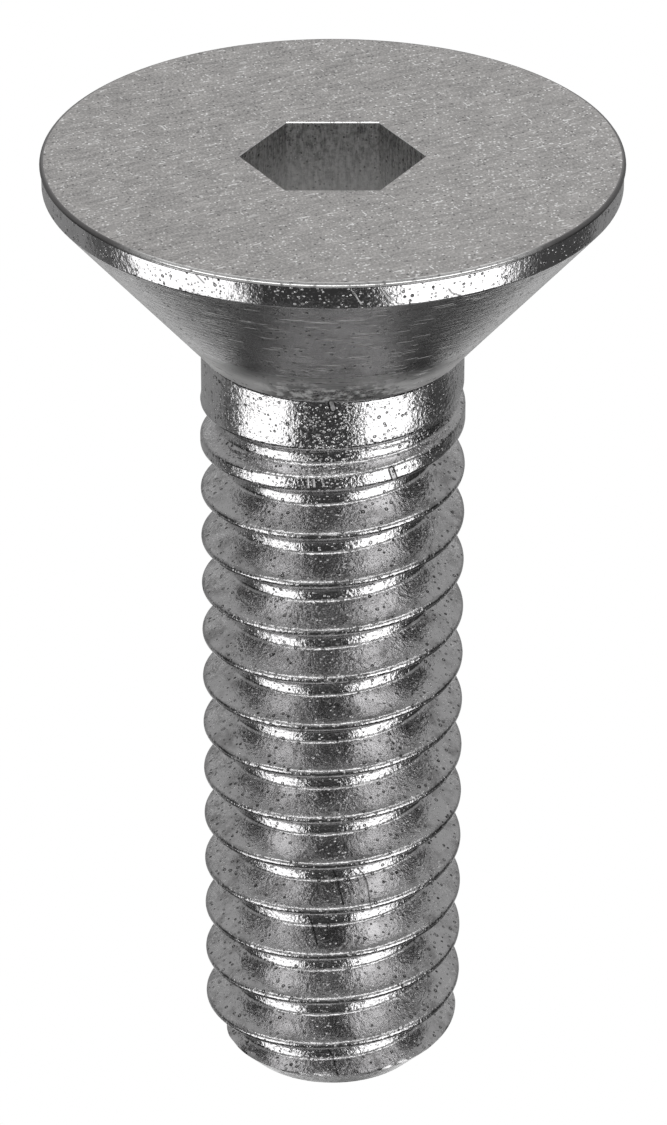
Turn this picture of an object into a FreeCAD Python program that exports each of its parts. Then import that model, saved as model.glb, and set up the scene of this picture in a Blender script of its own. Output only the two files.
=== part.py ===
import FreeCAD, Part
import os
import Sketcher

# Countersunk screw with a hexagon socket, headed in one piece and thread-rolled.
# It stands on the flat face of its head: that face lies at z = 0, the axis is Z and the tip points up.
# Two corners of the socket lie on the X axis, and two of its flats face along Y.
# The thread is right-handed, of the unified form: 1/4 inch across and 20 turns to the inch.

NODE_NAME = "countersunk_screw"

# Driving sizes in millimetres, degrees and turns, each with what it measures
SIZES = [
    ("overall_length", 23.8, "head face to the end of the tip"),
    ("head_diameter", 13.4, "across the lip round the face"),
    ("lip_depth", 0.04, "how far the lip stands out of the straight wall under it"),
    ("lip_height", 0.13, "face to the foot of the lip"),
    ("rim_height", 0.62, "face to the start of the cone"),
    ("face_rounding", 0.06, "radius between the face and the lip"),
    ("cone_angle", 82.0, "included angle of the countersink cone"),
    ("neck_diameter", 6.13, "plain shank under the head"),
    ("neck_length", 0.856, "plain shank between the cone and the first trace of the groove"),
    ("neck_fillet", 0.15, "radius between the cone and the neck"),
    ("crest_setback", 0.6, "from the end of the plain neck to where the crests reach their diameter"),
    ("thread_diameter", 6.2, "over the crests"),
    ("thread_pitch", 1.27, "advance of one turn"),
    ("thread_depth", 0.6875, "crest to root"),
    ("root_flat", 0.3175, "width of the flat at the root"),
    ("crest_flat", 0.15875, "width of the flat on the crest"),
    ("runout_turns", 1.3, "turns over which the groove fades out towards the neck"),
    ("tip_diameter", 4.48, "flat end of the tip"),
    ("chamfer_slope", 45.0, "slope of the tip's chamfer against the axis"),
    ("socket_width", 3.7, "across the flats of the hexagon"),
    ("socket_depth", 2.9, "straight part of the socket"),
    ("hollow_land", 0.15, "flat ring between the socket's flats and the hollow in its floor"),
    ("hollow_angle", 120.0, "included angle of the hollow"),
    ("cutter_overlap", 0.08, "how far the groove's cutter stands out of the crests"),
]

os.makedirs("parts", exist_ok=True)
doc = FreeCAD.newDocument("CountersunkScrew")

sheet = doc.addObject("Spreadsheet::Sheet", "Sizes")
for row, (alias, number, meaning) in enumerate(SIZES, start=1):
    sheet.set("A%d" % row, alias)
    sheet.set("B%d" % row, repr(number))
    sheet.set("C%d" % row, meaning)
    sheet.setAlias("B%d" % row, alias)
doc.recompute()

body = doc.addObject("PartDesign::Body", "ScrewBody")
body.Label = NODE_NAME


def value(expression):
    """The number that an expression on the sheet's sizes gives."""
    return float(sheet.evalExpression(expression))


def new_sketch(name, role):
    """A sketch of the body, flat on its origin plane of that role."""
    sketch = body.newObject("Sketcher::SketchObject", name)
    plane = next(feature for feature in body.Origin.OriginFeatures if feature.Role == role)
    sketch.AttachmentSupport = (plane, [""])
    sketch.MapMode = "FlatFace"
    return sketch


def hold(sketch, edge, direction, axis, start, expression):
    """Holds the start of an edge on an axis where the expression is 0, and otherwise at that distance."""
    if expression == "0":
        sketch.addConstraint(Sketcher.Constraint("PointOnObject", edge, 1, axis))
        return
    index = sketch.addConstraint(Sketcher.Constraint(direction, -1, 1, edge, 1, start))
    sketch.setExpression("Constraints[%d]" % index, expression)


def draw_outline(sketch, corners):
    """Closed outline of straight edges. A corner is two expressions, across and up the sketch."""
    points = [FreeCAD.Vector(value(across), value(up), 0) for across, up in corners]
    edges = []
    for start, end in zip(points, points[1:] + points[:1]):
        edges.append(sketch.addGeometry(Part.LineSegment(start, end), False))
    for edge, following in zip(edges, edges[1:] + edges[:1]):
        sketch.addConstraint(Sketcher.Constraint("Coincident", edge, 2, following, 1))
    for edge, point, (across, up) in zip(edges, points, corners):
        hold(sketch, edge, "DistanceX", -2, point.x, across)
        hold(sketch, edge, "DistanceY", -1, point.y, up)
    doc.recompute()


def circle_at(shape, radius, height):
    """Name of the circular edge about Z with that radius at that height."""
    for number, edge in enumerate(shape.Edges, start=1):
        curve = edge.Curve
        if not isinstance(curve, Part.Circle):
            continue
        if abs(curve.Radius - radius) < 1e-6 and abs(curve.Center.z - height) < 1e-6:
            return "Edge%d" % number
    raise ValueError("no circle of radius %.3f at height %.3f" % (radius, height))


def round_edge(name, base, radius, height, expression):
    """Rounds one circle of the turned blank, with a radius that follows the sheet."""
    rounding = body.newObject("PartDesign::Fillet", name)
    rounding.Base = (base, [circle_at(base.Shape, value(radius), value(height))])
    rounding.setExpression("Radius", expression)
    doc.recompute()
    return rounding


def cut_helix(name, sketch, height, angle, backwards):
    """Cuts the sketch along a helix about Z, one pitch a turn."""
    cut = body.newObject("PartDesign::SubtractiveHelix", name)
    cut.Profile = sketch
    cut.ReferenceAxis = (sketch, ["V_Axis"])
    cut.Mode = 0
    cut.LeftHanded = False
    cut.Reversed = backwards
    cut.setExpression("Pitch", "Sizes.thread_pitch")
    cut.setExpression("Height", height)
    cut.setExpression("Angle", angle)
    doc.recompute()
    return cut


# Blank: head with its thin lip, neck, shank and tip in one profile, turned about Z
HEAD_RADIUS = "Sizes.head_diameter / 2"
RIM_RADIUS = "(Sizes.head_diameter / 2 - Sizes.lip_depth)"
NECK_RADIUS = "Sizes.neck_diameter / 2"
CREST_RADIUS = "Sizes.thread_diameter / 2"
CONE_HEIGHT = "(%s - %s) / tan(Sizes.cone_angle * 1 deg / 2)" % (RIM_RADIUS, NECK_RADIUS)
CONE_END = "(Sizes.rim_height + %s)" % CONE_HEIGHT
NECK_END = "(%s + Sizes.neck_length)" % CONE_END
CREST_START = "(%s + Sizes.crest_setback)" % NECK_END
STEP = "abs(Sizes.thread_diameter - Sizes.neck_diameter) / 2"
CHAMFER_HEIGHT = "(Sizes.thread_diameter - Sizes.tip_diameter) / 2 / tan(Sizes.chamfer_slope * 1 deg)"

blank_profile = new_sketch("BlankProfile", "XZ_Plane")
draw_outline(blank_profile, [
    ("0", "0"),
    (HEAD_RADIUS, "0"),
    (HEAD_RADIUS, "Sizes.lip_height - Sizes.lip_depth"),
    (RIM_RADIUS, "Sizes.lip_height"),
    (RIM_RADIUS, "Sizes.rim_height"),
    (NECK_RADIUS, CONE_END),
    (NECK_RADIUS, "%s - %s" % (CREST_START, STEP)),
    (CREST_RADIUS, CREST_START),
    (CREST_RADIUS, "Sizes.overall_length - " + CHAMFER_HEIGHT),
    ("Sizes.tip_diameter / 2", "Sizes.overall_length"),
    ("0", "Sizes.overall_length"),
])
blank = body.newObject("PartDesign::Revolution", "Blank")
blank.Profile = blank_profile
blank.ReferenceAxis = (blank_profile, ["V_Axis"])
blank.Angle = 360.0
doc.recompute()

rounded_face = round_edge("RoundedFace", blank, HEAD_RADIUS, "0", "Sizes.face_rounding")
rounded_neck = round_edge("RoundedNeck", rounded_face, NECK_RADIUS, CONE_END, "Sizes.neck_fillet")

# Hexagon socket, open at the face, with a shallow cone in its floor
CORNER = "Sizes.socket_width / sqrt(3)"
HALF_SIDE = "Sizes.socket_width / sqrt(3) / 2"
HALF_WIDTH = "Sizes.socket_width / 2"

hexagon = new_sketch("SocketHexagon", "XY_Plane")
draw_outline(hexagon, [
    (CORNER, "0"),
    (HALF_SIDE, HALF_WIDTH),
    ("-" + HALF_SIDE, HALF_WIDTH),
    ("-" + CORNER, "0"),
    ("-" + HALF_SIDE, "-" + HALF_WIDTH),
    (HALF_SIDE, "-" + HALF_WIDTH),
])
socket = body.newObject("PartDesign::Pocket", "Socket")
socket.Profile = hexagon
socket.Reversed = True
socket.setExpression("Length", "Sizes.socket_depth")
doc.recompute()

HOLLOW_RADIUS = "(Sizes.socket_width / 2 - Sizes.hollow_land)"
hollow_profile = new_sketch("HollowProfile", "XZ_Plane")
draw_outline(hollow_profile, [
    ("0", "Sizes.socket_depth"),
    (HOLLOW_RADIUS, "Sizes.socket_depth"),
    ("0", "Sizes.socket_depth + %s / tan(Sizes.hollow_angle * 1 deg / 2)" % HOLLOW_RADIUS),
])
hollow = body.newObject("PartDesign::Groove", "SocketHollow")
hollow.Profile = hollow_profile
hollow.ReferenceAxis = (hollow_profile, ["V_Axis"])
hollow.Angle = 360.0
doc.recompute()

# Thread: the groove between the turns, at full depth from its start to past the tip
FULL_START = "(%s + Sizes.thread_pitch * Sizes.runout_turns)" % NECK_END
ROOT = "-(Sizes.thread_diameter / 2 - Sizes.thread_depth)"
MOUTH = "-(Sizes.thread_diameter / 2 + Sizes.cutter_overlap)"
HALF_ROOT = "Sizes.root_flat / 2"
HALF_AT_CREST = "(Sizes.thread_pitch - Sizes.crest_flat) / 2"
FLANK_RUN = "(%s - %s) / Sizes.thread_depth" % (HALF_AT_CREST, HALF_ROOT)
HALF_MOUTH = "(%s + Sizes.cutter_overlap * %s)" % (HALF_AT_CREST, FLANK_RUN)

groove_profile = new_sketch("GrooveProfile", "XZ_Plane")
draw_outline(groove_profile, [
    (ROOT, "%s - %s" % (FULL_START, HALF_ROOT)),
    (MOUTH, "%s - %s" % (FULL_START, HALF_MOUTH)),
    (MOUTH, "%s + %s" % (FULL_START, HALF_MOUTH)),
    (ROOT, "%s + %s" % (FULL_START, HALF_ROOT)),
])
THREAD_HEIGHT = "Sizes.overall_length - %s + Sizes.thread_pitch" % FULL_START
thread = cut_helix("Thread", groove_profile, THREAD_HEIGHT, "0", False)

# Run-out: the same groove goes on towards the head and climbs out of the blank on a conical helix
RUNOUT_HEIGHT = "Sizes.thread_pitch * Sizes.runout_turns"
RUNOUT_SLOPE = "atan(Sizes.thread_depth / (%s))" % RUNOUT_HEIGHT
runout = cut_helix("RunOut", groove_profile, RUNOUT_HEIGHT, RUNOUT_SLOPE, True)
body.Tip = runout
doc.recompute()

# Every feature must have worked, and each cut must have taken something away
for item in doc.Objects:
    if "Invalid" in item.State or "Error" in item.State:
        raise RuntimeError("%s failed: %s" % (item.Name, item.State))
for before, after in [(rounded_neck, socket), (socket, hollow), (hollow, thread), (thread, runout)]:
    if not after.Shape.Volume < before.Shape.Volume - 1e-3:
        raise RuntimeError("%s cut nothing" % after.Name)
shape = body.Shape
if shape.isNull() or not shape.isValid() or len(shape.Solids) != 1:
    raise RuntimeError("the screw is not one valid solid")
shape.exportStep(os.path.join("parts", body.Label + ".step"))
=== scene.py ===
import math

import bmesh
import bpy
from mathutils import Matrix, Vector


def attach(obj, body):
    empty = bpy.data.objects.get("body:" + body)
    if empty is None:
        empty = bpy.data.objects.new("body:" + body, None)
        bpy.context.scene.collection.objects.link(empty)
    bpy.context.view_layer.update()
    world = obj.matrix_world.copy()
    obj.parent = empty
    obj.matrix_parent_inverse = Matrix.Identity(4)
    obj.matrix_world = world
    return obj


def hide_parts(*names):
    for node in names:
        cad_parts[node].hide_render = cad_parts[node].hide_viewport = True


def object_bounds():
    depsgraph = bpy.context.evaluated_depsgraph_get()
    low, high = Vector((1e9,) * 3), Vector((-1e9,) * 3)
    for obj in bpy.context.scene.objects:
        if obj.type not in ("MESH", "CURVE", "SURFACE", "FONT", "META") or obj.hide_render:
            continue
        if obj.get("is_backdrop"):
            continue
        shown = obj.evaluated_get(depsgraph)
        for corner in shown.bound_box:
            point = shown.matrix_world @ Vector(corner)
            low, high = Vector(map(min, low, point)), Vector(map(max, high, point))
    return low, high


bl_info = {
    "name": "Countersunk Screw",
    "version": (1, 0, 0),
    "blender": (4, 5, 0),
    "location": "View3D > Sidebar > Screw",
    "description": "Builds a countersunk screw with a hexagon socket and a rolled thread, and its studio",
    "category": "Add Mesh",
}

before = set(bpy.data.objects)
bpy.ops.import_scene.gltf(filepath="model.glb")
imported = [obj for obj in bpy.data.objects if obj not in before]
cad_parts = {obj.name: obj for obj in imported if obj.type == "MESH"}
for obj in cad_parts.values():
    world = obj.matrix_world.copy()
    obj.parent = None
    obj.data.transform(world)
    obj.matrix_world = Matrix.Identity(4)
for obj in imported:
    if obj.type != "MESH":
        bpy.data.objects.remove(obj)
CAD_LOW, CAD_HIGH = (list(corner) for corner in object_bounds())
NODE = "countersunk_screw"
BODY = "root"
MILLIMETRE = 0.001

# The photograph's frame in pixels, and the column of the screw's axis in it
PHOTO_WIDTH = 667
PHOTO_HEIGHT = 1125
AXIS_COLUMN = 332.67


class Wire:
    """A node's output whose arithmetic adds Math nodes to its tree."""

    def __init__(self, tree, socket=None):
        self.tree = tree
        self.socket = socket

    def node(self, kind, settings=None, sockets=None, output=0):
        """Adds a node: its settings first, then its sockets' values or links. Gives the named output."""
        made = self.tree.nodes.new(kind)
        for name, setting in (settings or {}).items():
            setattr(made, name, setting)
        for name, content in (sockets or {}).items():
            socket = made.inputs[name]
            if isinstance(content, Wire):
                self.tree.links.new(content.socket, socket)
            else:
                socket.default_value = content
        return Wire(self.tree, made.outputs[output] if made.outputs else None)

    def math(self, operation, *others):
        """A Math node of this value and any others."""
        sockets = dict(enumerate((self, *others)))
        return self.node("ShaderNodeMath", {"operation": operation}, sockets)

    def __add__(self, other):
        return self.math("ADD", other)

    __radd__ = __add__

    def __mul__(self, other):
        return self.math("MULTIPLY", other)

    __rmul__ = __mul__

    def __sub__(self, other):
        return self.math("SUBTRACT", other)

    def __rsub__(self, other):
        return self * -1 + other

    def __truediv__(self, other):
        return self.math("DIVIDE", other)

    def __rtruediv__(self, other):
        return self.math("POWER", -1.0) * other

    def capped(self, highest=1.0):
        """This value, held at the highest where it is more."""
        return self.math("MINIMUM", highest)

    def split(self):
        """The three parts of this vector or colour."""
        made = self.node("ShaderNodeSeparateXYZ", {}, {"Vector": self})
        return [Wire(self.tree, socket) for socket in made.socket.node.outputs]

    def step(self, start, end, low=0.0, high=1.0):
        """Smooth step of this value: low before start, high after end."""
        settings = {"interpolation_type": "SMOOTHSTEP"}
        sockets = {"Value": self, "From Min": start, "From Max": end, "To Min": low, "To Max": high}
        return self.node("ShaderNodeMapRange", settings, sockets)

    def ramp(self, start, end):
        """Straight ramp of this value: 0 before start, 1 after end."""
        sockets = {"Value": self, "From Min": start, "From Max": end}
        return self.node("ShaderNodeMapRange", {"clamp": True}, sockets)

    def blend(self, first, second):
        """A colour between two colours, with this value as the share of the second."""
        sockets = {"Factor": self, 6: first, 7: second}
        return self.node("ShaderNodeMix", {"data_type": "RGBA"}, sockets, 2)


def length_property(name, description, default):
    """Length in metres, shown finely enough for a small screw."""
    limits = {"min": 0.0, "precision": 6, "subtype": "DISTANCE", "unit": "LENGTH"}
    return bpy.props.FloatProperty(name=name, description=description, default=default, **limits)


def angle_property(name, description, degrees):
    """Angle in radians, whose default is given in degrees."""
    default = math.radians(degrees)
    return bpy.props.FloatProperty(name=name, description=description, default=default, subtype="ANGLE")


def steel_property(name, description, red, green, blue):
    """Colour of a steel in linear light."""
    default = (red, green, blue, 1.0)
    return bpy.props.FloatVectorProperty(
        name=name, description=description, default=default, size=4, subtype="COLOR"
    )


class ScrewSizes(bpy.types.PropertyGroup):
    """Sizes of the screw, in metres and radians."""

    overall_length: length_property("Length", "Head face to the end of the tip", CAD_HIGH[2])
    head_diameter: length_property("Head Diameter", "Across the edge of the face", CAD_HIGH[0] * 2)
    face_rounding: length_property("Face Rounding", "Radius between face and rim", 0.09 * MILLIMETRE)
    lip_height: length_property("Lip Height", "How far the lip reaches down the rim", 0.13 * MILLIMETRE)
    lip_depth: length_property("Lip Depth", "How far the lip stands out of the rim", 0.04 * MILLIMETRE)
    rim_height: length_property("Rim Height", "From the face to the start of the cone", 0.62 * MILLIMETRE)
    rim_rounding: length_property("Rim Rounding", "Radius between rim and cone", 0.05 * MILLIMETRE)
    cone_angle: angle_property("Cone Angle", "Included angle of the countersink", 82)
    neck_diameter: length_property("Neck Diameter", "Plain shank under the head", 6.13 * MILLIMETRE)
    neck_length: length_property("Neck Length", "Plain shank between cone and groove", 0.856 * MILLIMETRE)
    neck_fillet: length_property("Neck Fillet", "Radius between cone and neck", 0.12 * MILLIMETRE)
    crest_setback: length_property("Crest Setback", "Neck to the first full crest", 0.6 * MILLIMETRE)
    runout_turns: bpy.props.FloatProperty(
        name="Run-out Turns", description="Turns over which the groove fades out", default=1.3
    )
    thread_diameter: length_property("Thread Diameter", "Over the crests", 6.2 * MILLIMETRE)
    thread_pitch: length_property("Pitch", "Advance of one turn", 1.27 * MILLIMETRE)
    thread_depth: length_property("Thread Depth", "Crest to root", 0.6875 * MILLIMETRE)
    flank_angle: angle_property("Flank Angle", "Included angle of the thread", 60)
    root_flat: length_property("Root Flat", "Width of the flat at the root", 0.3175 * MILLIMETRE)
    root_rounding: length_property("Root Rounding", "Radius between root and flanks", 0.12 * MILLIMETRE)
    crest_rounding: length_property("Crest Rounding", "Radius between crest and flanks", 0.13 * MILLIMETRE)
    tip_diameter: length_property("Tip Diameter", "Flat end of the tip", 4.48 * MILLIMETRE)
    chamfer_slope: angle_property("Chamfer Slope", "Tip chamfer against the axis", 45)
    socket_width: length_property("Socket Width", "Across the flats of the hexagon", 3.7 * MILLIMETRE)
    socket_depth: length_property("Socket Depth", "Straight part of the socket", 2.9 * MILLIMETRE)
    socket_chamfer: length_property("Socket Chamfer", "Worn edge at the mouth", 0.014 * MILLIMETRE)
    hollow_land: length_property("Hollow Land", "Flat ring round the floor's hollow", 0.15 * MILLIMETRE)
    hollow_angle: angle_property("Hollow Angle", "Included angle of the floor's hollow", 120)
    segments: bpy.props.IntProperty(
        name="Segments", description="Facets round the axis, a multiple of six", default=144, min=6
    )


class ScrewFinish(bpy.types.PropertyGroup):
    """Colours of the screw's steel."""

    # Dull steel also gives painted shade on the thread's flanks, dark steel painted shade on the cone above
    # the neck, bare steel a painted highlight on the front of the face's edge, and the face's colours a
    # painted lighter side
    steel: steel_property("Steel", "Bright rolled steel", 0.60, 0.595, 0.60)
    steel_dull: steel_property("Dull Steel", "Steel in pits and stains", 0.20, 0.195, 0.195)
    steel_bright: steel_property("Bare Steel", "Metal in specks and scratches", 0.95, 0.945, 0.94)
    steel_dark: steel_property("Dark Steel", "Walls of pits and nicks", 0.03, 0.029, 0.029)
    cone_steel: steel_property("Cone Steel", "Brushed steel of the cone", 0.41, 0.406, 0.406)
    face_steel: steel_property("Face Steel", "Satin steel of the face", 0.755, 0.735, 0.72)


class StudioSizes(bpy.types.PropertyGroup):
    """Camera and floor of the studio."""

    elevation: angle_property("Elevation", "View angle to the plane of the face", 28.58)
    distance: length_property("Distance", "Camera to the point it looks at", 0.1436)
    aim_height: length_property("Aim Height", "Where the camera looks on the axis", 0.010575)
    focal_pixels: bpy.props.FloatProperty(
        name="Focal Pixels", description="Focal length in pixels of the photograph", default=6067.7
    )
    floor_radius: length_property("Floor Radius", "Radius of the floor", 0.25)


# Rows of the thread from the middle of the groove to the middle of the crest
ROOT_ROWS = 2
ROOT_ARC_ROWS = 3
FLANK_ROWS = 6
CREST_ARC_ROWS = 4
CREST_ROWS = 1
HALF_ROWS = ROOT_ROWS + ROOT_ARC_ROWS + FLANK_ROWS + CREST_ARC_ROWS + CREST_ROWS

# Rows and steps of the head's profile, and how deep the socket's worn mouth is for its width
WALL_ROWS = 8
MOUTH_DROP = 1.5
FACE_ROWS = 8
EDGE_STEPS = 4
RIM_STEPS = 3
CONE_ROWS = 12
FILLET_STEPS = 4

# Share of the pitch over which the neck widens to the thread, and a guard against a row lost to rounding
CREST_RISE = 0.1
ROW_GUARD = 0.0005

# Attribute that marks the flanks, and how fast it grows from the root and from the crest
FLANK_SHARE = "flank_share"
FLANK_GAIN = 4

MERGE_DISTANCE = 0.001 * MILLIMETRE
SHARP_ANGLE = math.radians(32)


def wall_radius(s):
    """Radius of the rim's wall, which the lip stands out of."""
    return s.head_diameter / 2 - s.lip_depth


def cone_end(s):
    """Height above the face at which the cone meets the neck."""
    return s.rim_height + (wall_radius(s) - s.neck_diameter / 2) / math.tan(s.cone_angle / 2)


def shank_start(s):
    """Height of the ring at which the head's mesh meets the threaded shank's."""
    return cone_end(s) + s.neck_length / 2


def groove_section(given, station, cut):
    """Section of a groove of this depth, at a station between the middle of its root and that of the crest.

    Gives the way along the axis from the groove's middle, the rise over its root and the share of a flank.
    """
    turn = given["Flank Turn"]
    root_radius = given["Root Rounding"].math("MINIMUM", cut)
    crest_radius = given["Crest Rounding"].math("MINIMUM", cut)

    # How much of each part of the section lies behind the station
    reached = 0
    parts = []
    for count in (ROOT_ROWS, ROOT_ARC_ROWS, FLANK_ROWS, CREST_ARC_ROWS, CREST_ROWS):
        parts.append(station.ramp(reached, reached + count))
        reached += count
    on_root, on_root_arc, on_flank, on_crest_arc, on_crest = parts

    root_turn = turn * on_root_arc
    crest_turn = turn * (1 - on_crest_arc)
    flank_height = cut - (root_radius + crest_radius) * (1 - turn.math("COSINE"))
    flank_across = flank_height * (turn.math("COSINE") / turn.math("SINE"))
    to_root_arc = given["Root Flat"] * 0.5 - root_radius * (turn * 0.5).math("TANGENT")
    over_arcs = (root_radius + crest_radius) * turn.math("SINE")
    crest_left = given["Pitch"] * 0.5 - to_root_arc - over_arcs - flank_across
    across = (
        on_root * to_root_arc
        + root_radius * root_turn.math("SINE")
        + on_flank * flank_across
        + crest_radius * (turn.math("SINE") - crest_turn.math("SINE"))
        + on_crest * crest_left
    )
    rise = (
        root_radius * (1 - root_turn.math("COSINE"))
        + on_flank * flank_height
        + crest_radius * (crest_turn.math("COSINE") - turn.math("COSINE"))
    )
    flank_share = (on_root_arc * (1 - on_crest_arc) * FLANK_GAIN).capped() * (cut / given["Depth"])
    return across, rise, flank_share


def threaded_shank_tree(s, material):
    """Geometry Nodes tree of the neck, the run-out, the thread and the chamfered tip, and its inputs."""
    tree = bpy.data.node_groups.new("ThreadedShank", "GeometryNodeTree")
    tree.interface.new_socket("Geometry", in_out="OUTPUT", socket_type="NodeSocketGeometry")
    inputs = {
        "Start": shank_start(s),
        "End": s.overall_length,
        "Neck Radius": s.neck_diameter / 2,
        "Crest Radius": s.thread_diameter / 2,
        "Crest Start": cone_end(s) + s.neck_length + s.crest_setback,
        "Groove Start": cone_end(s) + s.neck_length,
        "Run-out Turns": s.runout_turns,
        "Pitch": s.thread_pitch,
        "Depth": s.thread_depth,
        "Root Flat": s.root_flat,
        "Root Rounding": s.root_rounding,
        "Crest Rounding": s.crest_rounding,
        "Flank Turn": math.pi / 2 - s.flank_angle / 2,
        "Tip Radius": s.tip_diameter / 2,
        "Chamfer Slope": s.chamfer_slope,
    }
    for name in inputs:
        tree.interface.new_socket(name, in_out="INPUT", socket_type="NodeSocketFloat")
    tree.interface.new_socket("Segments", in_out="INPUT", socket_type="NodeSocketInt")
    tree.interface.new_socket("Steel", in_out="INPUT", socket_type="NodeSocketMaterial")
    inputs.update({"Segments": s.segments, "Steel": material})
    start = Wire(tree)
    group = tree.nodes.new("NodeGroupInput")
    given = {name: Wire(tree, group.outputs[name]) for name in inputs}
    pitch, low, high = given["Pitch"], given["Start"], given["End"]

    # Whole turns from below the start to past the end, counted from where the groove is full
    runout = pitch * given["Run-out Turns"]
    full_start = given["Groove Start"] + runout
    first_turn = ((low - full_start) / pitch - 0.5).math("FLOOR")
    last_turn = ((high - full_start) / pitch + 0.5).math("CEIL")
    rows_per_turn = 2 * HALF_ROWS
    rows = (last_turn - first_turn) * rows_per_turn + 1
    columns = given["Segments"] + 1
    grid = start.node("GeometryNodeMeshGrid", {}, {"Vertices X": rows, "Vertices Y": columns})

    # Each point's row along the helix and its share of the way round
    index = start.node("GeometryNodeInputIndex")
    row = (index / columns + ROW_GUARD).math("FLOOR")
    column = index - row * columns
    share = column / given["Segments"]
    whole = (row / rows_per_turn + ROW_GUARD).math("FLOOR")
    within = row - whole * rows_per_turn
    above = within.math("GREATER_THAN", HALF_ROWS + 0.5)
    station = within.math("MINIMUM", rows_per_turn - within)
    centre = full_start + pitch * (first_turn + whole + above + share - 0.5)

    # The groove there, whose depth fades out over the run-out
    faded = (centre - given["Groove Start"]) / runout
    cut = given["Depth"] * faded.math("MAXIMUM", 0.0).capped()
    across, rise, flank_share = groove_section(given, station, cut)

    # Height and radius of the point, held between the neck's ring and the tip
    height = (centre + across * (1 - 2 * above)).math("MAXIMUM", low).math("MINIMUM", high)
    widening = given["Crest Start"] - pitch * CREST_RISE, given["Crest Start"]
    blank_radius = height.step(*widening, given["Neck Radius"], given["Crest Radius"])
    chamfer_radius = given["Tip Radius"] + (high - height) * given["Chamfer Slope"].math("TANGENT")
    radius = (blank_radius - (cut - rise)).math("MINIMUM", chamfer_radius)
    angle = share * math.tau
    parts = {"X": radius * angle.math("COSINE"), "Y": radius * angle.math("SINE"), "Z": height}
    place = start.node("ShaderNodeCombineXYZ", {}, parts)
    shaped = start.node("GeometryNodeSetPosition", {}, {"Geometry": grid, "Position": place})
    marked = start.node(
        "GeometryNodeStoreNamedAttribute",
        {"data_type": "FLOAT", "domain": "POINT"},
        {"Geometry": shaped, "Name": FLANK_SHARE, "Value": flank_share},
    )
    closed = start.node("GeometryNodeMergeByDistance", {}, {"Geometry": marked, "Distance": MERGE_DISTANCE})
    real = start.node("GeometryNodeRealizeInstances", {}, {"Geometry": closed})
    steeled = start.node("GeometryNodeSetMaterial", {}, {"Geometry": real, "Material": given["Steel"]})
    start.node("NodeGroupOutput", {}, {"Geometry": steeled})
    return tree, inputs


def mesh_from_tree(name, tree, inputs):
    """Plain mesh of what a Geometry Nodes tree gives for these inputs."""
    holder = bpy.data.objects.new(name, bpy.data.meshes.new(name))
    bpy.context.scene.collection.objects.link(holder)
    modifier = holder.modifiers.new(name, "NODES")
    modifier.node_group = tree
    sockets = [item for item in tree.interface.items_tree if item.in_out == "INPUT"]
    identifiers = {socket.name: socket.identifier for socket in sockets}
    for input_name, content in inputs.items():
        modifier[identifiers[input_name]] = content
    bpy.context.view_layer.update()
    depsgraph = bpy.context.evaluated_depsgraph_get()
    mesh = bpy.data.meshes.new_from_object(holder.evaluated_get(depsgraph), depsgraph=depsgraph)
    holder.modifiers.remove(modifier)
    bpy.data.objects.remove(holder)
    return mesh


def arc(centre_radius, centre_height, radius, start, end, steps):
    """Points of a profile's arc as (distance from the axis, height), from angle start to end in degrees."""
    angles = (math.radians(start + (end - start) * k / steps) for k in range(steps + 1))
    return [(centre_radius + radius * math.cos(a), centre_height + radius * math.sin(a)) for a in angles]


def between(first, last, rows):
    """Points of a profile's straight part, without its two ends."""
    return [tuple(a + (b - a) * k / rows for a, b in zip(first, last)) for k in range(1, rows)]


def head_rings(s):
    """Rings of the head from the socket's floor to the shank, each (corner share, radius, height, finish).

    The corner share is 1 on a hexagon, whose radius is half its width over the flats, and 0 on a circle.
    The finish is that of the faces between the ring and the one before it.
    """
    half_width = s.socket_width / 2
    hollow_radius = half_width - s.hollow_land
    mouth_drop = s.socket_chamfer * MOUTH_DROP
    rings = [(0.0, hollow_radius, s.socket_depth, "socket"), (1.0, half_width, s.socket_depth, "socket")]
    for k in range(1, WALL_ROWS + 1):
        height = s.socket_depth + (mouth_drop - s.socket_depth) * k / WALL_ROWS
        rings.append((1.0, half_width, height, "socket"))
    rings.append((1.0, half_width + s.socket_chamfer, 0.0, "edge"))

    # The face turns from the socket's hexagon to the rim's circle over its inner half
    face_radius = s.head_diameter / 2 - s.face_rounding
    for k in range(1, FACE_ROWS + 1):
        share = k / FACE_ROWS
        radius = half_width + s.socket_chamfer + (face_radius - half_width - s.socket_chamfer) * share
        rings.append((max(0.0, 1 - 2 * share), radius, 0.0, "face"))

    edge = arc(face_radius, s.face_rounding, s.face_rounding, -90, 0, EDGE_STEPS)[1:]
    lip = [(s.head_diameter / 2, s.lip_height - s.lip_depth), (wall_radius(s), s.lip_height)]
    half_cone = s.cone_angle / 2
    lean = math.degrees(half_cone)
    wall_end = s.rim_height - s.rim_rounding * math.tan((math.pi / 2 - half_cone) / 2)
    rounding = arc(wall_radius(s) - s.rim_rounding, wall_end, s.rim_rounding, 0, 90 - lean, RIM_STEPS)
    neck_radius = s.neck_diameter / 2
    fillet_height = cone_end(s) + s.neck_fillet * math.tan(half_cone / 2)
    fillet = arc(neck_radius + s.neck_fillet, fillet_height, s.neck_fillet, 180 + lean, 180, FILLET_STEPS)
    cone = between(rounding[-1], fillet[0], CONE_ROWS)
    under_face = [(edge, "edge"), (lip + rounding, "rolled")]
    for points, finish in under_face + [(cone + fillet[:1], "cone"), (fillet[1:], "rolled")]:
        rings += [(0.0, radius, height, finish) for radius, height in points]
    rings.append((0.0, neck_radius, shank_start(s), "rolled"))
    return rings


def ring_point(corner_share, radius, height, angle):
    """Point of a ring that is a circle, a hexagon or between them."""
    side = math.radians(60)
    from_middle = (angle % side) - side / 2
    hexagon = radius / math.cos(from_middle)
    distance = radius + (hexagon - radius) * corner_share
    return Vector((distance * math.cos(angle), distance * math.sin(angle), height))


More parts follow.
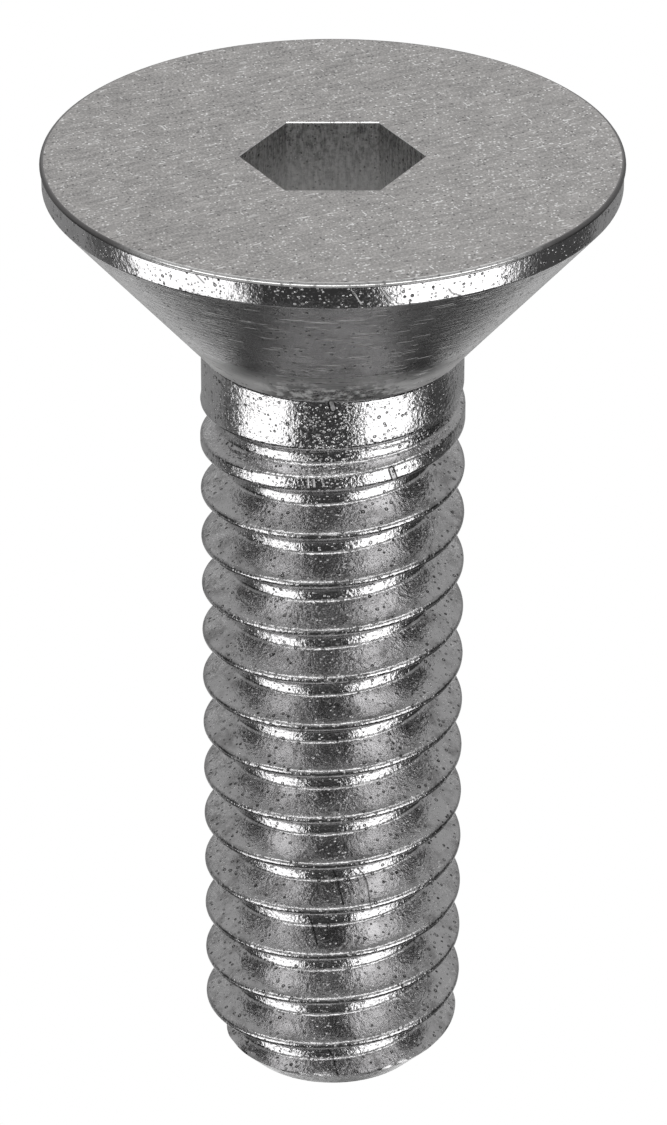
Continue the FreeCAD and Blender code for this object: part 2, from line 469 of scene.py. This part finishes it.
def add_head(mesh, s, finishes):
    """Adds the head's rings and the socket's floor to a bmesh."""
    angles = [math.tau * k / s.segments for k in range(s.segments)]
    apex_height = s.socket_depth + (s.socket_width / 2 - s.hollow_land) / math.tan(s.hollow_angle / 2)
    apex = mesh.verts.new((0.0, 0.0, apex_height))
    previous = None
    for corner_share, radius, height, finish in head_rings(s):
        ring = [mesh.verts.new(ring_point(corner_share, radius, height, angle)) for angle in angles]
        for k in range(s.segments):
            following = (k + 1) % s.segments
            if previous is None:
                corners = (apex, ring[k], ring[following])
            else:
                corners = (previous[k], ring[k], ring[following], previous[following])
            face = mesh.faces.new(corners)
            face.material_index = finishes.index(finish)
        previous = ring


def add_shank(mesh, shank, s, finishes):
    """Adds the threaded shank's mesh to a bmesh and closes the end of its tip."""
    faces_before = len(mesh.faces)
    mesh.from_mesh(shank)
    mesh.verts.ensure_lookup_table()
    mesh.faces.ensure_lookup_table()
    for face in mesh.faces[faces_before:]:
        face.material_index = finishes.index("rolled")
    bmesh.ops.remove_doubles(mesh, verts=mesh.verts[:], dist=MERGE_DISTANCE)
    open_edges = [edge for edge in mesh.edges if edge.is_boundary]
    centre = mesh.verts.new((0.0, 0.0, s.overall_length))
    for edge in open_edges:
        face = mesh.faces.new((edge.verts[0], edge.verts[1], centre))
        face.material_index = finishes.index("face")


# Noise has about two features in each of its units
FEATURE_SHARE = 0.5
# What lies outside every spot or stroke is put this much further away
OUTSIDE = 9
# The smallest spot's radius against the largest's, and the weakest fleck against the strongest
SMALLEST_SPOT = 0.55
WEAKEST_FLECK = 0.4
# Radius in millimetres at which a step round the cone has its plain share of a step down the cone
PLAIN_RADIUS = 3.1
# Step down the cone as a share of the change in height less radius on the way
CONE_STEP = 0.7
# Noise value over which scratches lie at a share of 0, how far a share of 1 lowers it, and their fade
SCRATCH_LEVEL, SCRATCH_SPREAD, SCRATCH_FADE = 0.62, 0.25, 0.08


def empty_tree(owner):
    """Start of the emptied node tree of a new material or world."""
    owner.use_nodes = True
    owner.node_tree.nodes.clear()
    return Wire(owner.node_tree)


def object_millimetres(start):
    """Coordinates on the object, in millimetres."""
    place = start.node("ShaderNodeTexCoord", {}, {}, "Object")
    return start.node("ShaderNodeVectorMath", {"operation": "SCALE"}, {0: place, "Scale": 1 / MILLIMETRE})


def drawn_out(place, along, turn=(0.0, 0.0, 0.0)):
    """Coordinates that draw a pattern out along the axes, by these shares and after this turn."""
    settings = {"vector_type": "TEXTURE"}
    return place.node("ShaderNodeMapping", settings, {"Vector": place, "Rotation": turn, "Scale": along})


def along_the_round(place, length_share):
    """Coordinates on the cone in which a step round the axis is that share of a step down the cone."""
    x, y, z = place.split()
    radius = (x * x + y * y).math("SQRT")
    rounding = length_share * PLAIN_RADIUS / radius
    parts = {"X": x * rounding, "Y": y * rounding, "Z": (z - radius) * CONE_STEP}
    return place.node("ShaderNodeCombineXYZ", {}, parts)


def grain(place, size, detail=2.0, roughness=0.5):
    """Noise on the object, with features of about that size in millimetres."""
    sockets = {"Vector": place, "Scale": FEATURE_SHARE / size, "Detail": detail, "Roughness": roughness}
    return place.node("ShaderNodeTexNoise", {}, sockets, "Fac")


def spots(place, spacing, radius, share):
    """Distance from the middle of scattered round spots, as a share of each one's radius, and their lot.

    The distance is over 1 outside every spot. The lot is a random number of each spot.
    """
    sockets = {"Vector": place, "Scale": 1 / spacing, "Randomness": 1.0}
    cell = place.node("ShaderNodeTexVoronoi", {}, sockets, "Distance")
    chance, size, lot = Wire(place.tree, cell.socket.node.outputs["Color"]).split()
    own_radius = SMALLEST_SPOT + size * (1 - SMALLEST_SPOT)
    left_out = chance.math("GREATER_THAN", share)
    return cell * (spacing / radius) / own_radius + left_out * OUTSIDE, lot


def craters(place, spacing, radius, share, depth):
    """Height in millimetres of small round pits, the mask of their walls and the mask of their insides."""
    distance, lot = spots(place, spacing, radius, share)
    wall = distance.step(1.15, 0.95) * distance.step(0.3, 0.6) * (0.5 + 0.5 * lot)
    return distance.step(1.0, 0.45) * -depth * (0.5 + lot), wall, distance.step(1.1, 0.9)


def flecks(place, spacing, radius, share):
    """Mask of scattered flecks, each with its own strength."""
    distance, lot = spots(place, spacing, radius, share)
    return distance.step(1.0, 0.5) * (WEAKEST_FLECK + (1 - WEAKEST_FLECK) * lot)


def scratches(place, size, width, share):
    """Mask of thin lines where noise crosses its middle, in that share of the surface."""
    line = grain(place, size, detail=1.0)
    level = SCRATCH_LEVEL - share * SCRATCH_SPREAD
    where = grain(place, size * 1.7, detail=1.0).step(level, level + SCRATCH_FADE)
    return (line - 0.5).math("ABSOLUTE").step(width, 0.0) * where


def marks(place, strokes):
    """Distance in millimetres from the nearest of some strokes on the front, each from (x, z) to (x, z)."""
    flat = place.node("ShaderNodeVectorMath", {"operation": "MULTIPLY"}, {0: place, 1: (1.0, 0.0, 1.0)})
    nearest = None
    for x0, z0, x1, z1 in strokes:
        stroke = Vector((x1 - x0, 0.0, z1 - z0))
        offset = flat.node("ShaderNodeVectorMath", {"operation": "SUBTRACT"}, {0: flat, 1: (x0, 0.0, z0)})
        towards = {0: offset, 1: stroke / stroke.length_squared}
        share = flat.node("ShaderNodeVectorMath", {"operation": "DOT_PRODUCT"}, towards, "Value")
        held = flat.node("ShaderNodeClamp", {}, {"Value": share})
        closest = flat.node("ShaderNodeVectorMath", {"operation": "SCALE"}, {0: stroke, "Scale": held})
        ends = {0: offset, 1: closest}
        distance = flat.node("ShaderNodeVectorMath", {"operation": "DISTANCE"}, ends, "Value")
        nearest = distance if nearest is None else nearest.math("MINIMUM", distance)
    behind = place.split()[1].math("GREATER_THAN", 0.0)
    return nearest + behind * OUTSIDE


# Marks on the front, in millimetres of X and height: rounded nicks, light strokes and dark scratches
NICKS = [(0.03, 4.76, -0.01, 4.92), (-1.345, 6.62, -1.43, 6.90)]
STROKES = [
    (0.57, 6.72, 0.56, 6.96),
    (0.44, 6.74, 0.42, 6.93),
    (0.26, 6.68, 0.2, 6.9),
    (-0.42, 0.16, -0.62, 0.52),
    (-1.05, 0.16, -1.26, 0.51),
    (-1.12, 0.18, -1.32, 0.46),
]
SCRATCHES = [
    (3.0, 0.14, 2.83, 0.29),
    (-2.55, 0.38, -2.62, 0.49),
    (-2.62, 0.49, -2.76, 0.57),
    (-0.62, 17.64, -0.83, 17.96),
    (-0.83, 17.96, -0.91, 18.31),
    (0.66, 18.8, 0.37, 19.45),
    (0.02, 17.54, -0.25, 18.22),
    (0.16, 22.58, -0.17, 23.33),
]

# Heights in millimetres between which a finish changes, each as (none of it, all of it)
RIM_REGION = (1.2, 0.8)
CONE_NEAR_NECK = (3.6, 4.3)
NECK_BEGINS = (4.6, 4.8)
NECK_ENDS = (7.2, 6.2)
LOWER_THREAD = (13.0, 22.0)
SOCKET_MOUTH = (2.0, 0.0)

# The finishes below give colour, roughness and height. Sizes and heights are in millimetres, and the other
# numbers are shares of a full mask, values of a noise or spot's distance at which a step begins and ends,
# and weights.


def rolled_finish(place, finish):
    """Bright steel of the rim, the neck and the rolled thread, wrinkled, pitted and scratched, with clouded
    stains and painted shade on the thread's flanks.
    """
    x, y, z = place.split()
    flank = place.node("ShaderNodeAttribute", {"attribute_name": FLANK_SHARE}, {}, "Fac")
    rim = z.step(*RIM_REGION)
    neck = z.step(*NECK_BEGINS) * z.step(*NECK_ENDS)
    lower = z.step(*LOWER_THREAD)
    patch = grain(place, 0.8, detail=1.0)
    wrinkled = grain(place, 0.05, roughness=0.65)
    swell = grain(place, 0.28, detail=1.0)
    cloud = grain(place, 0.28, detail=3.0, roughness=0.65)
    pit_height, pit_wall, pit = craters(place, spacing=0.16, radius=0.05, share=0.65, depth=0.014)
    bead_distance, lot = spots(place, spacing=0.088, radius=0.034, share=0.8)
    bead = bead_distance.step(1.0, 0.3)
    light_bead = bead * lot.math("GREATER_THAN", 0.35)
    dark_bead = bead - light_bead
    dusty = patch.step(0.4, 0.6, 0.15, 0.8).math("MAXIMUM", neck)
    dust = flecks(place, spacing=0.07, radius=0.034, share=0.6) * dusty
    beaten = neck * x.math("ABSOLUTE").step(0.95, 0.7) * y.math("LESS_THAN", 0.0)
    grit = flecks(place, spacing=0.085, radius=0.044, share=0.8) * beaten
    leaning = drawn_out(place, along=(1.0, 1.0, 7.0), turn=(0.5, 0.3, 0.0))
    fine = scratches(leaning, size=0.09, width=0.02, share=0.35 + lower * 0.5)
    nick = marks(place, NICKS)
    nick_floor = nick.step(0.06, 0.04)
    nick_edge = nick.step(0.09, 0.07) * nick.step(0.035, 0.06)
    stroke = marks(place, STROKES).step(0.024, 0.008)
    scratch = marks(place, SCRATCHES).step(0.03, 0.012)
    height = (
        wrinkled * (0.012 + patch.step(0.4, 0.65) * 0.010) * (1 - rim * 0.5)
        + swell * 0.012
        + pit_height
        + light_bead * 0.009
        + grit * 0.014
        + stroke * 0.012
        - nick_floor * 0.02
    )
    # Clouded stains everywhere, plus painted shade: the flanks between the crests get more of the dull
    # steel
    grime_and_flank_shade = cloud.step(0.42, 0.72) * (0.2 + flank * 0.45)
    light = (light_bead * 0.5 + dust * 0.8 + grit + fine * 0.5 * flank + stroke * 0.6).capped()
    dark = (pit_wall * 0.9 + dark_bead * 0.6 + nick_edge * 0.9 + scratch * 0.7).capped()
    lit = light.blend(grime_and_flank_shade.blend(finish.steel, finish.steel_dull), finish.steel_bright)
    roughness = (
        0.10
        + flank * (0.07 + patch.step(0.35, 0.7) * 0.06)
        + (light_bead + dark_bead + fine) * 0.2
        + dust * 0.4
        + pit * 0.25
        + (nick_floor + stroke) * 0.35
    )
    return dark.blend(lit, finish.steel_dark), roughness.capped(0.7), height


def cone_finish(place, finish):
    """Steel of the cone, brushed round the axis, with dark patches, short light streaks and a mottled
    painted shade in the middle just above the neck.
    """
    x, _, z = place.split()
    near_neck = z.ramp(*CONE_NEAR_NECK)
    brushed = grain(along_the_round(place, 0.12), 0.03, roughness=0.6)
    patch = grain(place, 1.1, detail=3.0, roughness=0.6)
    mottle = grain(place, 0.05, roughness=0.6)
    dusty = grain(place, 0.12, detail=3.0, roughness=0.7)
    streak_distance, lot = spots(along_the_round(place, 0.10), spacing=0.062, radius=0.021, share=0.75)
    mark = streak_distance.step(1.0, 0.6)
    streak = mark * lot.math("GREATER_THAN", 0.3) * patch.step(0.38, 0.5)
    dark_streak = mark * lot.math("LESS_THAN", 0.3)
    pit_height, pit_wall, pit = craters(place, spacing=0.17, radius=0.045, share=0.5, depth=0.008)
    scored = scratches(along_the_round(place, 0.25), size=0.12, width=0.014, share=0.5)
    # Painted shade: mottled dark steel in the middle of the cone just above the neck
    neck_shade = near_neck * x.math("ABSOLUTE").step(1.9, 0.7) * dusty.step(0.38, 0.55)
    height = brushed * 0.012 + mottle * 0.008 + streak * 0.012 + pit_height
    worn = (patch.step(0.35, 0.7) * 0.3 + brushed.step(0.5, 0.75) * 0.4) * (1 - near_neck * 0.7)
    dull = (worn + neck_shade * 0.7 + pit_wall * 0.6 + dark_streak * 0.7).capped()
    plain = dull.blend(near_neck.blend(finish.cone_steel, finish.steel_bright), finish.steel_dark)
    light = (streak * 0.9 + scored * 0.5).capped()
    roughness = 0.20 + brushed * 0.08 + streak * 0.3 + pit * 0.15 + near_neck * (1 - neck_shade) * 0.32
    return light.blend(plain, finish.steel_bright), roughness.capped(0.75), height


def face_finish(place, finish):
    """Satin steel of the head's face, with light and dark specks and faint lines, more scuffed to one side,
    where painted light also makes its tone lighter.
    """
    x, y, _ = place.split()
    lengthwise = drawn_out(place, along=(6.0, 1.0, 1.0), turn=(0.0, 0.0, math.radians(-28)))
    crosswise = drawn_out(place, along=(5.0, 1.0, 1.0), turn=(0.0, 0.0, math.radians(60)))
    fine = grain(place, 0.03, roughness=0.7)
    lines = grain(lengthwise, 0.07, detail=3.0, roughness=0.6)
    cloud = grain(place, 0.45, detail=3.0, roughness=0.6)
    speck_distance, lot = spots(place, spacing=0.085, radius=0.036, share=0.85)
    speck = speck_distance.step(1.0, 0.7)
    bright_speck = speck * lot.step(0.2, 0.35) * cloud.step(0.36, 0.56, 0.25, 1.0)
    dark_speck = speck * lot.step(0.12, 0.08)
    streak = flecks(lengthwise, spacing=0.10, radius=0.030, share=0.7) * cloud.step(0.42, 0.56)
    other_way = flecks(crosswise, spacing=0.13, radius=0.026, share=0.6)
    # More flecks towards one side, and painted light there: the dull tone is weakened, so that side is
    # lighter
    scuffed_and_lit_side = (x + y * 0.4).step(2.0, -6.5)
    tone = fine.ramp(0.3, 0.7) * 0.6 + lines.ramp(0.35, 0.65) * 0.25 + cloud.ramp(0.6, 0.4) * 0.1
    dull = (tone * (1 - scuffed_and_lit_side * 0.1) + dark_speck * 0.6).capped()
    light = ((bright_speck + streak + other_way * 0.8) * (1 + scuffed_and_lit_side * 0.8)).capped()
    plain = dull.blend(finish.face_steel, finish.steel_dull)
    return light.blend(plain, finish.steel_bright), 0.42 + lines * 0.08 - light * 0.08, lines * 0.003


def edge_finish(place, finish):
    """Steel worn bright by rubbing on the edge of the socket's mouth, and bright steel on the front of the
    face's edge as a painted highlight.
    """
    fine = grain(place, 0.06, roughness=0.6)
    from_middle = place.node("ShaderNodeVectorMath", {"operation": "LENGTH"}, {0: place}, "Value")
    at_mouth = from_middle.step(4.0, 3.5)
    # Painted highlight: the front of the face's edge gets bright, smoother steel
    front_highlight = place.split()[1].step(-4.4, -5.6)
    rubbed_and_highlit = at_mouth.math("MAXIMUM", front_highlight) * fine.step(0.8, 0.5)
    return rubbed_and_highlit.blend(finish.steel_dull, finish.steel_bright), 0.34 - rubbed_and_highlit * 0.16, fine * 0.003


def socket_finish(place, finish):
    """Steel of the punched socket, drawn along the axis, scratched and stained, darker at the mouth."""
    drawn = grain(drawn_out(place, along=(1.0, 1.0, 5.0)), 0.04, detail=3.0, roughness=0.7)
    mottle = grain(place, 0.045, detail=3.0, roughness=0.7)
    near_mouth = place.split()[2].step(*SOCKET_MOUTH)
    pit_height, pit_wall, _ = craters(place, spacing=0.13, radius=0.035, share=0.6, depth=0.008)
    leaning = drawn_out(place, along=(1.0, 1.0, 4.0), turn=(0.45, 0.35, 0.0))
    streak = flecks(leaning, spacing=0.07, radius=0.018, share=0.8)
    speckled = drawn.step(0.38, 0.66) * 0.3 + mottle.step(0.42, 0.62) * 0.25
    stain = speckled * (0.5 + near_mouth * 0.5) + near_mouth * 0.3
    plain = (stain + pit_wall * 0.5).capped().blend(finish.steel_bright, finish.steel_dark)
    colour = (streak * 0.8).blend(plain, finish.steel_bright)
    return colour, 0.42 + mottle * 0.15, drawn * 0.012 + pit_height


# Material and finish of each of the screw's surfaces
FINISHES = {
    "socket": ("punched_socket_steel", socket_finish),
    "face": ("satin_face_steel", face_finish),
    "edge": ("rubbed_and_highlit_edge_steel", edge_finish),
    "cone": ("brushed_cone_steel", cone_finish),
    "rolled": ("rolled_steel", rolled_finish),
}


def finish_material(name, build, finish):
    """Steel material with the colour, roughness and height that a finish gives."""
    material = bpy.data.materials.new(name)
    start = empty_tree(material)
    colour, roughness, height = build(object_millimetres(start), finish)
    bump = start.node("ShaderNodeBump", {}, {"Strength": 1.0, "Distance": MILLIMETRE, "Height": height})
    look = {"Base Color": colour, "Metallic": 1.0, "Roughness": roughness, "Normal": bump}
    shader = start.node("ShaderNodeBsdfPrincipled", {}, look)
    start.node("ShaderNodeOutputMaterial", {}, {"Surface": shader})
    return material


class OBJECT_OT_countersunk_screw(bpy.types.Operator):
    """Builds the screw as one closed mesh, with the finish of each of its surfaces"""

    bl_idname = "object.countersunk_screw"
    bl_label = "Countersunk Screw"

    def execute(self, context):
        s = context.scene.screw_sizes
        finish = context.scene.screw_finish
        finishes = list(FINISHES)
        materials = [finish_material(name, build, finish) for name, build in FINISHES.values()]
        tree, inputs = threaded_shank_tree(s, materials[finishes.index("rolled")])
        shank = mesh_from_tree("threaded_shank", tree, inputs)
        shape = bmesh.new()
        add_head(shape, s, finishes)
        add_shank(shape, shank, s, finishes)
        bmesh.ops.recalc_face_normals(shape, faces=shape.faces[:])
        for face in shape.faces:
            face.smooth = True
        mesh = bpy.data.meshes.new("screw")
        shape.to_mesh(mesh)
        shape.free()
        bpy.data.meshes.remove(shank)
        for material in materials:
            mesh.materials.append(material)
        mesh.set_sharp_from_angle(angle=SHARP_ANGLE)
        piece = bpy.data.objects.new("screw", mesh)
        context.scene.collection.objects.link(piece)
        shading = piece.modifiers.new("Flat Areas First", "WEIGHTED_NORMAL")
        shading.keep_sharp = True
        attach(piece, BODY)
        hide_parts(NODE)
        return {"FINISHED"}


# Bands of the studio's surround, as (name, lowest, highest, softness, panels), in degrees of elevation.
# A panel is (from azimuth, to azimuth, brightness). Azimuth 0 is behind the camera and grows to the
# photo's right. Elevation is upright as in the photo, where the head is on top. Brightness 1 is white,
# and a later band covers an earlier one.
SURROUND = [
    ("underside", -99, -39, 3, [(-200, 200, 0.04)]),
    ("past the tip", -99, -68, 6, [(-146, 146, 0.40)]),
    ("low fill on the left", -53, -33, 5, [(-200, -152, 0.85)]),
    ("low fill on the right", -49, -33, 5, [(152, 200, 0.85)]),
    ("low slot", -72, -54, 4, [(-200, -168, 0.35), (168, 200, 0.35)]),
    (
        "walls", -37, -5, 2.5,
        [(-112, -92, 0.12), (-87, -38, 2.1), (-33, 20, 0.05), (25, 74, 2.4), (84, 126, 0.08)],
    ),
    ("side gaps", -21, 4, 3, [(-118, -70, 0.03), (67, 118, 0.03)]),
    (
        "back and sides", 7, 52, 8,
        [(-200, -154, 0.78), (-148, -114, 0.45), (114, 148, 0.45), (154, 200, 0.78)],
    ),
    ("front header", 31, 45, 2.5, [(-75, 75, 2.3)]),
    ("ceiling", 61, 82, 5, [(-146, -76, 0.40), (76, 146, 0.40)]),
    ("high sides", 46, 62, 4, [(-146, -100, 0.45), (100, 146, 0.45)]),
]
PANEL_SOFTNESS = 2.5
SIDE_BRIGHTNESS = 0.30
HALF_TURN = 180
WHITE = (1.0, 1.0, 1.0, 1.0)

# The floor's depth under the face, its own glow, its two pale colours and their clouds for each metre,
# and the shares of its radius between which it fades out
FLOOR_SINK = 0.03 * MILLIMETRE
FLOOR_GLOW = 0.5
FLOOR_COLOURS = ((0.80, 0.80, 0.80, 1.0), (0.84, 0.84, 0.835, 1.0))
FLOOR_CLOUDS = 60.0
FLOOR_FADE = (0.35, 0.95)
FLOOR_SEGMENTS = 96

# The camera sees from its distance divided by this to its distance times this
CLIP_RANGE = 100


def panel_ramp(turned, name, panels):
    """Brightness of a band's panels at an azimuth, where a full turn is 1, and how far they cover."""
    made = turned.node("ShaderNodeValToRGB", {"label": name}, {"Fac": turned}).socket.node
    stops = []
    for start, end, level in panels:
        for azimuth, cover in (
            (start - PANEL_SOFTNESS, 0.0),
            (start + PANEL_SOFTNESS, 1.0),
            (end - PANEL_SOFTNESS, 1.0),
            (end + PANEL_SOFTNESS, 0.0),
        ):
            if -HALF_TURN <= azimuth <= HALF_TURN:
                stops.append((azimuth / (2 * HALF_TURN) + 0.5, (level, level, level, cover)))
    if not stops:
        stops = [(0.5, (level, level, level, 1.0))]
    elements = made.color_ramp.elements
    elements.remove(elements[0])
    elements[0].position, elements[0].color = stops[0]
    for position, content in stops[1:]:
        elements.new(position).color = content
    return Wire(turned.tree, made.outputs["Color"]), Wire(turned.tree, made.outputs["Alpha"])


def surround_brightness(start):
    """Brightness of the studio's surround in the direction of a ray."""
    x, y, z = start.node("ShaderNodeTexCoord", {}, {}, "Generated").split()
    elevation = (z * -1).math("ARCSINE") * (HALF_TURN / math.pi)
    turned = (x * -1).math("ARCTAN2", y * -1) / math.tau + 0.5
    brightness = SIDE_BRIGHTNESS
    for name, lowest, highest, softness, panels in SURROUND:
        level, cover = panel_ramp(turned, name, panels)
        above = elevation.step(lowest - softness, lowest + softness)
        below = elevation.step(highest + softness, highest - softness)
        brightness = brightness + cover * above * below * (level - brightness)
    return brightness


def studio_world():
    """World that is white to the camera and a soft studio to the steel."""
    world = bpy.data.worlds.new("studio")
    start = empty_tree(world)
    seen = start.node("ShaderNodeLightPath", {}, {}, "Is Camera Ray")
    strength = seen + (1 - seen) * surround_brightness(start)
    background = start.node("ShaderNodeBackground", {}, {"Color": WHITE, "Strength": strength})
    start.node("ShaderNodeOutputWorld", {}, {"Surface": background})
    return world


def floor_material(radius):
    """Pale floor that is seen from above only and fades out before its edge."""
    material = bpy.data.materials.new("pale_floor")
    start = empty_tree(material)
    place = start.node("ShaderNodeTexCoord", {}, {}, "Object")
    far = start.node("ShaderNodeVectorMath", {"operation": "LENGTH"}, {0: place}, "Value")
    clouds = {"Vector": place, "Scale": FLOOR_CLOUDS, "Detail": 3.0}
    colour = start.node("ShaderNodeTexNoise", {}, clouds, "Fac").step(0.2, 0.8).blend(*FLOOR_COLOURS)
    look = {"Base Color": colour, "Roughness": 1.0}
    look.update({"Emission Color": colour, "Emission Strength": FLOOR_GLOW})
    pale = start.node("ShaderNodeBsdfPrincipled", {}, look)
    clear = start.node("ShaderNodeBsdfTransparent")
    backface = start.node("ShaderNodeNewGeometry", {}, {}, "Backfacing")
    fade_start, fade_end = (radius * share for share in FLOOR_FADE)
    hidden = backface.math("MAXIMUM", far.step(fade_start, fade_end))
    mixed = start.node("ShaderNodeMixShader", {}, {0: hidden, 1: pale, 2: clear})
    start.node("ShaderNodeOutputMaterial", {}, {"Surface": mixed})
    return material


def make_floor(radius):
    """Round floor just under the face that the screw stands on."""
    shape = bmesh.new()
    bmesh.ops.create_circle(shape, cap_ends=True, segments=FLOOR_SEGMENTS, radius=radius)
    mesh = bpy.data.meshes.new("floor")
    shape.to_mesh(mesh)
    shape.free()
    mesh.transform(Matrix.Translation((0.0, 0.0, -FLOOR_SINK)))
    mesh.materials.append(floor_material(radius))
    floor = bpy.data.objects.new("floor", mesh)
    bpy.context.scene.collection.objects.link(floor)
    for kind in ("diffuse", "glossy", "transmission", "shadow", "volume_scatter"):
        setattr(floor, "visible_" + kind, False)
    floor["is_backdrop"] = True


def make_camera(s):
    """Camera of the photograph: it looks up at the standing screw from below, turned head up."""
    data = bpy.data.cameras.new("photo_camera")
    data.sensor_fit = "AUTO"
    data.lens = s.focal_pixels / PHOTO_HEIGHT * data.sensor_width
    data.shift_x = (PHOTO_WIDTH / 2 - AXIS_COLUMN) / PHOTO_HEIGHT
    data.clip_start = s.distance / CLIP_RANGE
    data.clip_end = s.distance * CLIP_RANGE
    camera = bpy.data.objects.new("photo_camera", data)
    forward = Vector((0.0, math.cos(s.elevation), math.sin(s.elevation)))
    right = Vector((-1.0, 0.0, 0.0))
    up = right.cross(forward)
    turned = Matrix((right, up, -forward)).transposed()
    aim = Vector((0.0, 0.0, s.aim_height))
    camera.matrix_world = Matrix.Translation(aim - forward * s.distance) @ turned.to_4x4()
    bpy.context.scene.collection.objects.link(camera)
    bpy.context.scene.camera = camera


class OBJECT_OT_screw_studio(bpy.types.Operator):
    """Builds the floor, the studio light and the photograph's camera"""

    bl_idname = "object.screw_studio"
    bl_label = "Screw Studio"

    def execute(self, context):
        studio = context.scene.screw_studio
        context.scene.world = studio_world()
        context.scene.view_settings.view_transform = "Standard"
        make_floor(studio.floor_radius)
        make_camera(studio)
        return {"FINISHED"}


class VIEW3D_PT_countersunk_screw(bpy.types.Panel):
    """Sidebar panel with the screw's sizes and colours, the studio's sizes and the two steps"""

    bl_label = "Countersunk Screw"
    bl_space_type = "VIEW_3D"
    bl_region_type = "UI"
    bl_category = "Screw"

    def draw(self, context):
        """Lists the properties in three boxes, and then the steps."""
        for group in (context.scene.screw_sizes, context.scene.screw_finish, context.scene.screw_studio):
            box = self.layout.box()
            for name in group.__annotations__:
                box.prop(group, name)
        for operator in OPERATORS:
            self.layout.operator(operator.bl_idname)


GROUPS = {"screw_sizes": ScrewSizes, "screw_finish": ScrewFinish, "screw_studio": StudioSizes}
OPERATORS = (OBJECT_OT_countersunk_screw, OBJECT_OT_screw_studio)
CLASSES = (*GROUPS.values(), *OPERATORS, VIEW3D_PT_countersunk_screw)


def register():
    """Registers the classes and gives each scene its three groups of properties."""
    for cls in CLASSES:
        bpy.utils.register_class(cls)
    for name, group in GROUPS.items():
        setattr(bpy.types.Scene, name, bpy.props.PointerProperty(type=group))


def unregister():
    """Takes back all that register did."""
    for name in GROUPS:
        delattr(bpy.types.Scene, name)
    for cls in reversed(CLASSES):
        bpy.utils.unregister_class(cls)


def main():
    """Builds the screw and its studio."""
    register()
    bpy.ops.object.countersunk_screw()
    bpy.ops.object.screw_studio()


if __name__ == "__main__":
    main()
